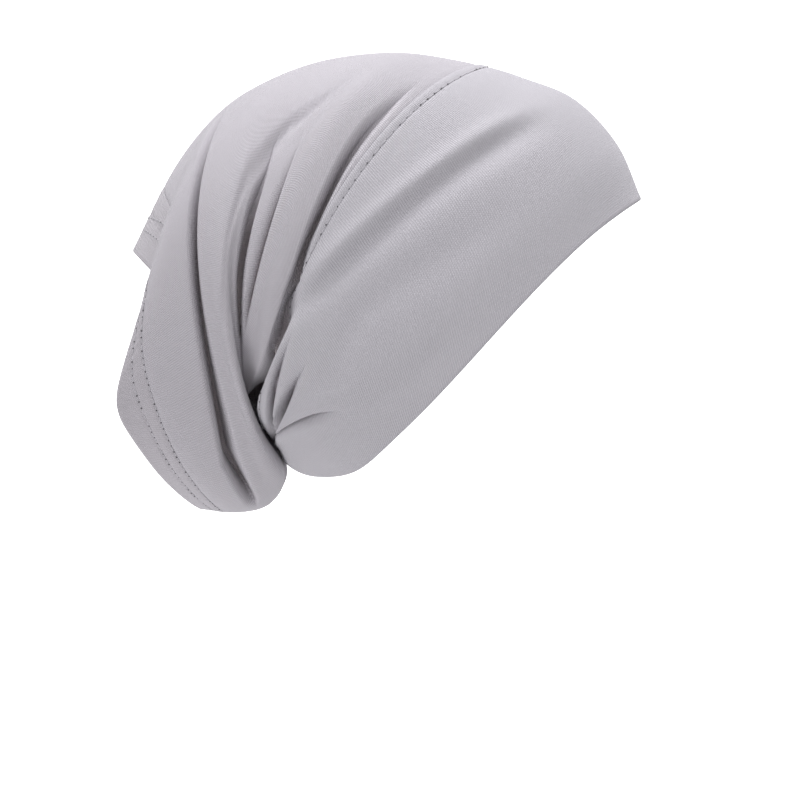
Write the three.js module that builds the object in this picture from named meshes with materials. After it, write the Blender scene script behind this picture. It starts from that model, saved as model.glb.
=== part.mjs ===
// Soft jersey underscarf cap: a wide tube of thin knit cloth with a doubled band round the face,
// bent back over the crown, gathered at the nape and left open behind, where its turned hem
// hangs in loose lobes. Millimetres, +Z up, the face toward -Y, the wearer's left toward +X.
// The origin is the inside of the crown, where the cap sits.
import * as THREE from 'three';

// Driving sizes
const CAP_REACH = 233.2;
const CAP_DROP = 211.6;
const HALF_BREADTH = 73;
const TUBE_LENGTH = 240;
const CROWN_REACH = 0.4753;
const CROWN_DROP = 0.0078;

// Cloth and sewing sizes
const JERSEY = 1.2;
const DOUBLED_BAND = 1.8;
const SEAM_PLIES = 2.2;
const SEAM_PROUD = 0.3;
const HEM_PLIES = 1.9;
const HEM_PROUD = 0.1;
const HEM_DEPTH = 17;
const STRIP_WIDTH = 4;
const SEWN_GAP = 0.34;

// Fold sizes that the tables below take shares of
const FOLD_DEPTH = 18;
const FOLD_HALF = 10;
const STEEPEST_CREASE = 1.3;
const STEEPEST_WAVE = .5;

// Mesh fineness
const COLUMNS = 52;
const CREASE_ROWS = 4;
const ROW_PITCH = 6.5;

// Cross sections of the tube from the face edge (tube 0) to the hem (tube 1). Each one is a
// side-view curve from the crown line to the nape line, bent by two handles; reach and drop are
// shares of CAP_REACH and CAP_DROP, breadth is a share of HALF_BREADTH, and jowl spreads the
// lower part sideways.
const SECTIONS = [
  { name: 'edge', tube: 0, crown: [0, 0.313], high: [0.282, 0.5],
    low: [0.536, 1.048], nape: [0.704, 0.885], breadth: 0.959, jowl: 0 },
  { name: 'brow', tube: 0.1, crown: [0.045, 0.2], high: [0.337, 0.374],
    low: [0.602, 0.991], nape: [0.708, 0.876], breadth: 0.986, jowl: 0.04 },
  { name: 'band', tube: 0.2167, crown: [0.132, 0.098], high: [0.432, 0.252],
    low: [0.673, 0.887], nape: [0.712, 0.863], breadth: 1, jowl: 0.06 },
  { name: 'fore', tube: 0.3167, crown: [0.221, 0.057], high: [0.511, 0.187],
    low: [0.74, 0.822], nape: [0.72, 0.846], breadth: 1, jowl: 0.06 },
  { name: 'seam', tube: 0.4229, crown: [0.322, 0.024], high: [0.58, 0.122],
    low: [0.825, 0.756], nape: [0.732, 0.822], breadth: 0.986, jowl: 0.06 },
  { name: 'front_rib', tube: 0.5042, crown: [0.456, 0], high: [0.629, 0.037],
    low: [0.819, 0.641], nape: [0.744, 0.815], breadth: 0.945, jowl: -0.05 },
  { name: 'cleft', tube: 0.5958, crown: [0.584, 0.006], high: [0.765, 0.246],
    low: [0.86, 0.517], nape: [0.757, 0.844], breadth: 0.904, jowl: 0 },
  { name: 'rear_rib', tube: 0.6917, crown: [0.702, 0.041], high: [0.854, 0.224],
    low: [0.864, 0.68], nape: [0.708, 0.928], breadth: 0.89, jowl: 0.1 },
  { name: 'rear_crease', tube: 0.7833, crown: [0.807, 0.106], high: [0.947, 0.328],
    low: [0.844, 0.646], nape: [0.73, 0.976], breadth: 0.849, jowl: 0.1 },
  { name: 'lobe', tube: 0.8958, crown: [0.913, 0.233], high: [0.976, 0.404],
    low: [0.976, 0.8], nape: [0.799, 0.996], breadth: 0.863, jowl: 0.05 },
  { name: 'hem', tube: 1, crown: [1, 0.426], high: [0.949, 0.513],
    low: [1.095, 0.822], nape: [0.866, 0.987], breadth: 0.822, jowl: 0.05 },
];

// Deep creases. Each runs round the cap through three stations (girth 0 crown, 1 nape) and
// fades in and out over the girth shares in fade. front and back are half widths as shares of
// FOLD_HALF, depth is a share of FOLD_DEPTH, and steep draws the two walls together.
const CREASES = [
  { name: 'lap_crease', stations: [[0.54, 0.1], [0.67, 0.1792], [0.85, 0.2583]],
    front: 0.6, back: 0.6, depth: 0.278, steep: 0.5, fade: [0.58, 0.72, 0.84, 0.95] },
  { name: 'gather_low', stations: [[0.6, 0.2875], [0.72, 0.3], [0.9, 0.3125]],
    front: 0.45, back: 0.45, depth: 0.278, steep: 0.5, fade: [0.58, 0.74, 0.82, 0.93] },
  { name: 'gather_high', stations: [[0.55, 0.3583], [0.7, 0.3458], [0.9, 0.3542]],
    front: 0.45, back: 0.45, depth: 0.278, steep: 0.5, fade: [0.54, 0.72, 0.82, 0.93] },
  { name: 'seam_crease', stations: [[0.3, 0.4437], [0.5, 0.4437], [0.8, 0.4437]],
    front: 0.5, back: 0.8, depth: 0.389, steep: 0.5, fade: [0.27, 0.45, 0.66, 0.82] },
  { name: 'deep_cleft', stations: [[0.28, 0.5917], [0.5, 0.5917], [0.75, 0.5833]],
    front: 0.7, back: 0.7, depth: 0.889, steep: 0.6, fade: [0.24, 0.52, 0.7, 0.88] },
  { name: 'rear_crease', stations: [[0.15, 0.7667], [0.4, 0.7833], [0.85, 0.7875]],
    front: 0.9, back: 0.9, depth: 0.778, steep: 0.6, fade: [0.12, 0.3, 0.86, 0.97] },
];

// Shallow rounded waves of the cloth, listed the same way; a negative depth is a rib.
const WAVES = [
  { name: 'temple_valley', stations: [[0.2, 0.2125], [0.38, 0.2667], [0.58, 0.3958]],
    half: 0.7, depth: 0.222, fade: [0.14, 0.28, 0.5, 0.62] },
  { name: 'temple_rib', stations: [[0.2, 0.2417], [0.38, 0.3], [0.58, 0.425]],
    half: 0.6, depth: -0.111, fade: [0.14, 0.28, 0.46, 0.58] },
  { name: 'cheek_wave', stations: [[0.3, 0.125], [0.44, 0.1792], [0.52, 0.2333]],
    half: 0.8, depth: 0.056, fade: [0.28, 0.42, 0.52, 0.66] },
  { name: 'edge_wave', stations: [[0.44, 0.05], [0.52, 0.0708], [0.62, 0.1167]],
    half: 0.8, depth: 0.044, fade: [0.42, 0.5, 0.6, 0.7] },
  { name: 'lap_rib', stations: [[0.6, 0.1583], [0.7, 0.2417], [0.85, 0.2833]],
    half: 0.7, depth: -0.111, fade: [0.54, 0.7, 0.86, 0.97] },
  { name: 'front_valley', stations: [[0.31, 0.5583], [0.45, 0.5417], [0.62, 0.5208]],
    half: 0.5, depth: 0.139, fade: [0.22, 0.34, 0.56, 0.7] },
  { name: 'cleft_mouth', stations: [[0.2, 0.5333], [0.4, 0.5833], [0.6, 0.5958]],
    half: 1.2, depth: 0.167, fade: [0.16, 0.32, 0.6, 0.8] },
  { name: 'rear_rib', stations: [[0.3, 0.6833], [0.6, 0.6667], [0.9, 0.6667]],
    half: 1.2, depth: -0.167, fade: [0.3, 0.55, 0.86, 0.97] },
];

// Flutes that run along the tube and open at the hem, with the girth share where each starts
// and ends, its half width round the girth, its depth, and how far it draws the hem forward.
const FLUTES = [
  { name: 'valley', start: 0.767, girthStart: 0.15, girthEnd: 0.28, half: 0.11, depth: 0.611, draw: 0 },
  { name: 'tuck', start: 0.75, girthStart: 0.31, girthEnd: 0.4, half: 0.09, depth: 0, draw: 0.444 },
  { name: 'ridge', start: 0.783, girthStart: 0.32, girthEnd: 0.55, half: 0.1, depth: -0.083, draw: -0.333 },
];

// Local pulls on the cloth, forward and up, as shares of FOLD_HALF.
const PULLS = [
  { name: 'jaw_corner', tube: 0, girth: 0.67, long: 0.058, wide: 0.06, forward: 0.12, up: -0.18 },
  { name: 'rear_rib_foot', tube: 0.679, girth: 0.9, long: 0.058, wide: 0.07, forward: 0.3, up: 0 },
];

const smooth = (a, b, x) => {
  const t = THREE.MathUtils.clamp((x - a) / (b - a), 0, 1);
  return t * t * (3 - 2 * t);
};

const hump = (x) => Math.exp(-x * x);

const fade = (row, girth) => {
  const [a, b, c, d] = row.fade;
  return smooth(a, b, girth) * (1 - smooth(c, d, girth));
};

// Tube place of a fold at a girth share: the parabola through its three stations.
function stationed(row, girth) {
  const [[g1, u1], [g2, u2], [g3, u3]] = row.stations;
  const g = THREE.MathUtils.clamp(girth, g1, g3);
  const w1 = ((g - g2) * (g - g3)) / ((g1 - g2) * (g1 - g3));
  const w2 = ((g - g1) * (g - g3)) / ((g2 - g1) * (g2 - g3));
  const w3 = ((g - g1) * (g - g2)) / ((g3 - g1) * (g3 - g2));
  return (u1 * w1 + u2 * w2 + u3 * w3) * TUBE_LENGTH;
}

// One number of the section table, carried smoothly along the tube.
function along(tube, pick) {
  const n = SECTIONS.length;
  let i = 0;
  while (i < n - 2 && tube >= SECTIONS[i + 1].tube) i += 1;
  const knot = (k) => SECTIONS[k].tube;
  const value = (k) => pick(SECTIONS[k]);
  const slope = (k) => (value(k + 1) - value(k)) / (knot(k + 1) - knot(k));
  const tangent = (k) => {
    if (k === 0) return slope(0);
    if (k === n - 1) return slope(n - 2);
    const before = knot(k) - knot(k - 1);
    const after = knot(k + 1) - knot(k);
    return (slope(k - 1) * after + slope(k) * before) / (before + after);
  };
  const w = knot(i + 1) - knot(i);
  const t = (tube - knot(i)) / w;
  const t2 = t * t;
  const t3 = t2 * t;
  return (2 * t3 - 3 * t2 + 1) * value(i) + (t3 - 2 * t2 + t) * w * tangent(i)
    + (3 * t2 - 2 * t3) * value(i + 1) + (t3 - t2) * w * tangent(i + 1);
}

// The plain form of the cap: u millimetres along the tube, s from -1 to 1 round the girth.
function form(u, s) {
  const tube = u / TUBE_LENGTH;
  const turn = Math.PI * s;
  const t = (1 - Math.cos(turn)) / 2;
  const weights = [(1 - t) ** 3, 3 * t * (1 - t) ** 2, 3 * t * t * (1 - t), t ** 3];
  const names = ['crown', 'high', 'low', 'nape'];
  const sum = (axis) => names.reduce(
    (total, name, k) => total + weights[k] * along(tube, (row) => row[name][axis]), 0);
  const breadth = along(tube, (row) => row.breadth) * HALF_BREADTH;
  const jowl = along(tube, (row) => row.jowl);
  const x = -breadth * Math.sin(turn) * (1 + jowl * t ** 3);
  const y = (sum(0) - CROWN_REACH) * CAP_REACH;
  const z = -(sum(1) - CROWN_DROP) * CAP_DROP;
  return new THREE.Vector3(x, y, z);
}

// Point, outward direction and tube direction of a surface at (u, s), with pace, the true
// spacing of the cross sections there for each millimetre of u.
function frameAt(surface, u, s) {
  const du = surface(u + 0.5, s).sub(surface(u - 0.5, s));
  const ds = surface(u, s + 0.004).sub(surface(u, s - 0.004));
  const out = new THREE.Vector3().crossVectors(du, ds);
  const pace = out.length() / ds.length();
  return { at: surface(u, s), out: out.normalize(), run: du.normalize(), pace };
}

// The form with its flutes, pulls and shallow waves.
function waved(u, s) {
  const girth = Math.abs(s);
  const { at, out, run, pace } = frameAt(form, u, s);
  for (const row of FLUTES) {
    const k = THREE.MathUtils.clamp((u / TUBE_LENGTH - row.start) / (1 - row.start), 0, 1);
    const centre = row.girthStart + (row.girthEnd - row.girthStart) * k;
    const v = hump((girth - centre) / row.half) * smooth(row.start, 1, u / TUBE_LENGTH);
    at.addScaledVector(out, -row.depth * FOLD_DEPTH * v);
    at.addScaledVector(run, -row.draw * FOLD_DEPTH * v * k);
  }
  for (const row of PULLS) {
    const v = hump((u / TUBE_LENGTH - row.tube) / row.long) * hump((girth - row.girth) / row.wide);
    at.y -= row.forward * FOLD_HALF * v;
    at.z += row.up * FOLD_HALF * v;
  }
  let sink = 0;
  for (const row of WAVES) {
    const half = row.half * FOLD_HALF;
    const q = (u - stationed(row, girth)) / half;
    const most = STEEPEST_WAVE * half * pace;
    const depth = THREE.MathUtils.clamp(row.depth * FOLD_DEPTH, -most, most);
    sink += depth * hump(q) * fade(row, girth);
  }
  return at.addScaledVector(out, -sink);
}

// A point of the outer face and the direction its plies are laid up in.
const onWaves = (u, s) => {
  const { at, out } = frameAt(waved, u, s);
  return { at, out };
};

// The same on a crease, tau -1 at its front lip, 0 in its cleft, 1 at its back lip.
function creased(row, tau, s) {
  const girth = Math.abs(s);
  const strength = fade(row, girth);
  const half = (tau < 0 ? row.front : row.back) * FOLD_HALF;
  const place = tau + row.steep * strength * (tau ** 3 - tau);
  const { at, out, pace } = frameAt(waved, stationed(row, girth) + half * place, s);
  const narrow = Math.min(row.front, row.back) * FOLD_HALF;
  const depth = Math.min(row.depth * FOLD_DEPTH, STEEPEST_CREASE * narrow * pace);
  const sink = depth * strength * Math.cos((Math.PI * tau) / 2) ** 2;
  return { at: at.addScaledVector(out, -sink), out };
}

// Girth stations of the mesh columns.
const girths = Array.from({ length: COLUMNS }, (_, j) => (2 * j) / COLUMNS - 1);

// Rows of points from one tube place to another; the places may wander round the girth.
function plainRows(from, to) {
  const widths = girths.map((s) => to(Math.abs(s)) - from(Math.abs(s)));
  const mean = widths.reduce((total, width) => total + width, 0) / COLUMNS;
  const count = Math.max(1, Math.round(mean / ROW_PITCH));
  return Array.from({ length: count }, (_, i) => girths.map((s) => {
    const a = from(Math.abs(s));
    const b = to(Math.abs(s));
    return onWaves(a + ((b - a) * i) / count, s);
  }));
}

function creaseRows(row) {
  return Array.from({ length: CREASE_ROWS }, (_, i) => {
    const tau = -1 + (2 * i) / CREASE_ROWS;
    return girths.map((s) => creased(row, tau, s));
  });
}

// The whole outer face of the cap as rows of points, with the row where each sewn piece starts.
function layOut() {
  const creases = CREASES.map((row) => ({
    row,
    front: (girth) => stationed(row, girth) - row.front * FOLD_HALF,
    back: (girth) => stationed(row, girth) + row.back * FOLD_HALF,
  }));
  const seam = creases.find((crease) => crease.row.name === 'seam_crease');
  const cuts = [
    { name: 'strip', at: (girth) => seam.front(girth) - STRIP_WIDTH },
    { name: 'hem', at: () => TUBE_LENGTH - HEM_DEPTH },
  ];
  const rows = [];
  const starts = { band: 0 };
  let here = () => 0;
  const run = (to) => {
    rows.push(...plainRows(here, to));
    here = to;
  };
  for (const crease of creases) {
    if (crease === seam) {
      run(cuts[0].at);
      starts.strip = rows.length;
    }
    run(crease.front);
    if (crease === seam) starts.tube = rows.length;
    rows.push(...creaseRows(crease.row));
    here = crease.back;
  }
  run(cuts[1].at);
  starts.hem = rows.length;
  run(() => TUBE_LENGTH);
  rows.push(girths.map((s) => onWaves(TUBE_LENGTH, s)));
  return { rows, starts, last: rows.length - 1 };
}

const cloth = layOut();

// Direction along the cloth, square to a row, at one of its points.
function acrossRow(i, j) {
  const row = cloth.rows[i];
  const left = row[(j + COLUMNS - 1) % COLUMNS].at;
  const right = row[(j + 1) % COLUMNS].at;
  const round = right.clone().sub(left);
  return round.cross(row[j].out).normalize();
}

// A ring of cloth between two rows, given its plies below and above the drawn face.
function ringOfCloth(first, end, below, above) {
  const faces = [above, -below];
  const points = [];
  for (let i = first; i <= end; i += 1) {
    for (let j = 0; j < COLUMNS; j += 1) {
      const { at, out } = cloth.rows[i][j];
      const across = acrossRow(i, j);
      const shift = (i === first && first > 0 ? 1 : 0) - (i === end && end < cloth.last ? 1 : 0);
      for (const face of faces) {
        const p = at.clone().addScaledVector(out, face);
        p.addScaledVector(across, (shift * SEWN_GAP) / 2);
        points.push(p.x, p.y, p.z);
      }
    }
  }
  const id = (i, j, face) => 2 * ((i - first) * COLUMNS + (j % COLUMNS)) + face;
  const triangles = [];
  const quad = (a, b, c, d) => triangles.push(a, b, c, a, c, d);
  for (let j = 0; j < COLUMNS; j += 1) {
    for (let i = first; i < end; i += 1) {
      quad(id(i, j, 0), id(i + 1, j, 0), id(i + 1, j + 1, 0), id(i, j + 1, 0));
      quad(id(i, j, 1), id(i, j + 1, 1), id(i + 1, j + 1, 1), id(i + 1, j, 1));
    }
    quad(id(first, j, 0), id(first, j + 1, 0), id(first, j + 1, 1), id(first, j, 1));
    quad(id(end, j, 0), id(end, j, 1), id(end, j + 1, 1), id(end, j + 1, 0));
  }
  const geometry = new THREE.BufferGeometry();
  geometry.setAttribute('position', new THREE.Float32BufferAttribute(points, 3));
  geometry.setIndex(triangles);
  geometry.computeVertexNormals();
  return geometry;
}

const jersey = (colour) => new THREE.MeshStandardMaterial({
  color: colour,
  roughness: 0.92,
  metalness: 0,
});

const cap = new THREE.Group();

function addPiece(name, first, end, below, above, colour) {
  const mesh = new THREE.Mesh(ringOfCloth(first, end, below, above), jersey(colour));
  mesh.name = name;
  cap.add(mesh);
}

const { starts, last } = cloth;
addPiece('face_band', starts.band, starts.strip, DOUBLED_BAND, 0, 0xb8b5bc);
addPiece('seam_strip', starts.strip, starts.tube, SEAM_PLIES, SEAM_PROUD, 0xb6b3ba);
addPiece('back_tube', starts.tube, starts.hem, JERSEY, 0, 0xb7b3bb);
addPiece('back_hem', starts.hem, last, HEM_PLIES - HEM_PROUD, HEM_PROUD, 0xb4b0b7);

export default cap;
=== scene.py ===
"""Slouchy jersey underscarf cap, worn shape.

A wide tube of fine single knit with a doubled band round the face, a topstitched seam behind
it, a back that hangs in folds from the crown and is gathered at the nape, and an open rear
edge with a turned, double stitched hem.  Metres, +Z up, the face toward -Y.
"""
import logging
import math
from dataclasses import dataclass
from enum import Enum
from typing import Callable, Sequence

import bpy
import numpy as np
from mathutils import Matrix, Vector


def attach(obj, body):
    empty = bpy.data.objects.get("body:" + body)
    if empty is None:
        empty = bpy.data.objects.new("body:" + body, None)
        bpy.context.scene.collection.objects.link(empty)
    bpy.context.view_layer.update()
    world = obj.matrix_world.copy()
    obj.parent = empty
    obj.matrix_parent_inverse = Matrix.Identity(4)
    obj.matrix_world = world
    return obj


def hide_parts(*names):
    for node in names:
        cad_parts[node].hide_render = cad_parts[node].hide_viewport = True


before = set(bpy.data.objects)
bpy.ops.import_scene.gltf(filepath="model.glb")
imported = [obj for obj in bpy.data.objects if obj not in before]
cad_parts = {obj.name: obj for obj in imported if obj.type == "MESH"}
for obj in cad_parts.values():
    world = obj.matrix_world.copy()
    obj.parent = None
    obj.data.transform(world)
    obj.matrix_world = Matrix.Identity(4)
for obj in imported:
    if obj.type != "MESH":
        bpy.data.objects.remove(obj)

log = logging.getLogger("underscarf_cap")

MM = 0.001
Share = tuple[float, float]
Stations = tuple[tuple[float, ...], tuple[float, ...], tuple[float, ...]]
Fade = tuple[float, float, float, float]
Colour = tuple[float, float, float]
Flat = tuple[float, float]


class Held(Enum):
    """How a sheet of cloth is kept in its shape."""

    STRETCHED = "stretched"
    DRAPED = "draped"


class Edge(Enum):
    """How the plies of a piece end."""

    SEWN = "sewn"
    TURNED = "turned"


@dataclass(frozen=True)
class CapSizes:
    """The cap's named sizes, in millimetres.

    Reach is front to back, drop is top to bottom, and the tube is the cloth's own length from
    the face edge to the hem.
    """

    reach: float = 233.2
    drop: float = 211.6
    half_breadth: float = 73.0
    tube: float = 240.0
    crown_reach: float = 0.4753
    crown_drop: float = 0.0078
    jersey: float = 1.1
    doubled_band: float = 1.8
    seam_plies: float = 2.0
    seam_proud: float = 0.25
    hem_plies: float = 1.8
    hem_proud: float = 0.12
    hem_depth: float = 17.0
    hem_stitch: float = 10.0
    strip_width: float = 4.0
    sewn_gap: float = 0.14
    fold_depth: float = 18.0
    fold_half: float = 10.0
    seam_pitch: float = 4.8
    hem_pitch: float = 3.1
    inner_rise: float = 8.5
    outer_rise: float = 4.5


@dataclass(frozen=True)
class Section:
    """One side-view curve of the tube, crown to nape, in shares of reach and drop."""

    name: str
    tube: float
    crown: Share
    high: Share
    low: Share
    nape: Share
    breadth: float
    jowl: float


@dataclass(frozen=True)
class Crease:
    """A deep fold round the cap, through three stations of (girth, tube, gape).

    Gape is the width of the dark slot between its front and back lips. A lip that is much wider
    than the other slopes gently; the others are rounded.
    """

    name: str
    stations: Stations
    front: float
    back: float
    depth: float
    fade: Fade


@dataclass(frozen=True)
class Wave:
    """A shallow rounded fold; a negative depth is a rib."""

    name: str
    stations: Stations
    half: float
    depth: float
    fade: Fade


@dataclass(frozen=True)
class Flute:
    """A fold along the tube that opens at the hem."""

    name: str
    start: float
    girth_start: float
    girth_end: float
    half: float
    depth: float
    draw: float


@dataclass(frozen=True)
class Pull:
    """A local pull on the cloth, forward and up."""

    name: str
    tube: float
    girth: float
    long: float
    wide: float
    forward: float
    up: float


@dataclass(frozen=True)
class Ditch:
    """A stitch line that sinks into the cloth and puckers it a little."""

    name: str
    tube: float
    half: float
    depth: float
    pucker: float


SEAM_LINE = 0.4229
SEAM_STITCH = 0.4063
HEM_STITCH_INNER = 0.9292

# name, tube, crown, high, low, nape, breadth, jowl
SECTIONS = (
    Section("edge", 0, (0, 0.313), (0.282, 0.5), (0.536, 1.048), (0.704, 0.885), 0.959, 0),
    Section("brow", 0.1, (0.045, 0.2), (0.337, 0.374),
            (0.602, 0.991), (0.708, 0.876), 0.986, 0.04),
    Section("band", 0.2167, (0.132, 0.098), (0.432, 0.252),
            (0.673, 0.887), (0.712, 0.863), 1, 0.06),
    Section("fore", 0.3167, (0.221, 0.057), (0.511, 0.187),
            (0.74, 0.822), (0.72, 0.846), 1, 0.06),
    Section("seam", SEAM_LINE, (0.322, 0.024), (0.58, 0.122),
            (0.825, 0.756), (0.732, 0.822), 0.986, 0.06),
    Section("front_rib", 0.5042, (0.456, 0), (0.629, 0.037),
            (0.819, 0.641), (0.744, 0.815), 0.945, -0.05),
    Section("cleft", 0.5958, (0.584, 0.006), (0.765, 0.246),
            (0.86, 0.517), (0.757, 0.844), 0.904, 0),
    Section("rear_rib", 0.6917, (0.702, 0.041), (0.854, 0.224),
            (0.864, 0.68), (0.708, 0.928), 0.89, 0.1),
    Section("rear_crease", 0.7833, (0.807, 0.106), (0.947, 0.328),
            (0.844, 0.646), (0.73, 0.976), 0.849, 0.1),
    Section("lobe", 0.8958, (0.913, 0.233), (0.976, 0.404),
            (0.976, 0.8), (0.799, 0.996), 0.863, 0.05),
    Section("hem", 1, (1, 0.426), (0.949, 0.513), (1.095, 0.822), (0.866, 0.987), 0.822, 0.05),
)

# name, (girth, tube, gape) stations, front, back, depth, fade
CREASES = (
    Crease("lap_crease", ((0.62, 0.1417, 0), (0.69, 0.2208, 0), (0.8, 0.3083, 0.04)),
           0.8, 0.3, 0.333, (0.61, 0.7, 0.84, 0.92)),
    Crease("gather_low", ((0.6, 0.2958, 0.04), (0.7, 0.3063, 0.12), (0.8, 0.3167, 0.06)),
           0.3, 0.7, 0.5, (0.6, 0.72, 0.84, 0.92)),
    Crease("gather_high", ((0.58, 0.3646, 0.04), (0.72, 0.3542, 0.1), (0.84, 0.3333, 0.06)),
           0.26, 0.6, 0.389, (0.575, 0.7, 0.84, 0.93)),
    Crease("seam_crease", ((0.31, 0.4396, 0.14), (0.42, 0.4375, 0.14), (0.53, 0.4146, 0.2)),
           0.25, 0.4, 0.667, (0.22, 0.5, 0.52, 0.6)),
    Crease("front_cleft", ((0.5, 0.4146, 0.2), (0.66, 0.4292, 0.34), (0.82, 0.5292, 1.4)),
           0.8, 0.35, 0.889, (0.52, 0.6, 0.86, 0.94)),
    Crease("rib_crease", ((0.3, 0.5729, 0), (0.52, 0.5354, 0.02), (0.68, 0.5458, 0.03)),
           0.2, 0.48, 0.2, (0.32, 0.56, 0.61, 0.68)),
    Crease("deep_cleft", ((0.34, 0.6125, 0.05), (0.5, 0.5875, 0.34), (0.7, 0.5563, 0)),
           0.24, 0.3, 1, (0.3, 0.54, 0.66, 0.78)),
    Crease("rear_crease", ((0.18, 0.7792, 0.04), (0.45, 0.7812, 0.05), (0.77, 0.8271, 0.24)),
           0.24, 0.55, 0.833, (0.1, 0.26, 0.86, 0.95)),
)

# name, (girth, tube) stations, half, depth, fade
WAVES = (
    Wave("temple_valley", ((0.2, 0.2125), (0.38, 0.2667), (0.58, 0.3958)),
         0.7, 0.189, (0.14, 0.3, 0.5, 0.62)),
    Wave("temple_rib", ((0.2, 0.2417), (0.38, 0.3), (0.58, 0.425)),
         0.6, -0.111, (0.14, 0.28, 0.46, 0.58)),
    Wave("cheek_wave", ((0.3, 0.125), (0.44, 0.1792), (0.52, 0.2333)),
         0.8, 0.056, (0.28, 0.42, 0.52, 0.66)),
    Wave("edge_wave", ((0.44, 0.05), (0.52, 0.0708), (0.62, 0.1167)),
         0.8, 0.044, (0.42, 0.5, 0.6, 0.7)),
    Wave("lap_rib", ((0.6, 0.1583), (0.7, 0.25), (0.82, 0.3083)),
         0.7, -0.111, (0.54, 0.68, 0.86, 0.97)),
    Wave("cleft_mouth", ((0.2, 0.5333), (0.4, 0.5833), (0.6, 0.5958)),
         1.2, 0.122, (0.16, 0.3, 0.42, 0.58)),
    Wave("cleft_head", ((0.24, 0.55), (0.34, 0.6104), (0.48, 0.5917)),
         0.45, 0.133, (0.18, 0.3, 0.36, 0.5)),
    Wave("cleft_side", ((0.46, 0.4125), (0.6, 0.4167), (0.74, 0.4542)),
         0.8, 0.178, (0.42, 0.54, 0.68, 0.8)),
    Wave("rear_line", ((0.41, 0.6417), (0.5, 0.6625), (0.6, 0.7)),
         0.3, 0.089, (0.32, 0.42, 0.58, 0.7)),
    Wave("rear_rib", ((0.3, 0.6833), (0.6, 0.6667), (0.9, 0.6667)),
         1.2, -0.167, (0.3, 0.55, 0.86, 0.97)),
)

# name, start, girth at the start, girth at the hem, half, depth, draw
FLUTES = (
    Flute("valley", 0.767, 0.15, 0.28, 0.11, 0.611, 0),
    Flute("tuck", 0.75, 0.31, 0.4, 0.09, 0, 0.444),
    Flute("ridge", 0.783, 0.32, 0.55, 0.1, -0.083, -0.333),
)

# name, tube, girth, long, wide, forward, up
PULLS = (
    Pull("jaw_corner", 0, 0.67, 0.058, 0.06, 0.12, -0.18),
    Pull("rear_rib_foot", 0.679, 0.9, 0.058, 0.07, 0.3, 0),
)

# the seams and stitches that each sheet carries
SEWN_ON = {
    "band_cloth": ("seam_cloth", "seam_topstitch"),
    "hem_cloth": ("hem_stitch_inner", "hem_stitch_outer"),
}

# name, tube in millimetres, half, depth, pucker
DITCHES = (
    Ditch("seam_topstitch", SEAM_STITCH * CapSizes.tube, 0.8, 0.3, 0.09),
    Ditch("seam_line", SEAM_LINE * CapSizes.tube, 0.7, 0.35, 0.05),
    Ditch("hem_inner", HEM_STITCH_INNER * CapSizes.tube, 0.8, 0.3, 0.10),
    Ditch("hem_outer", CapSizes.tube - CapSizes.hem_stitch, 0.8, 0.3, 0.10),
)


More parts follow.
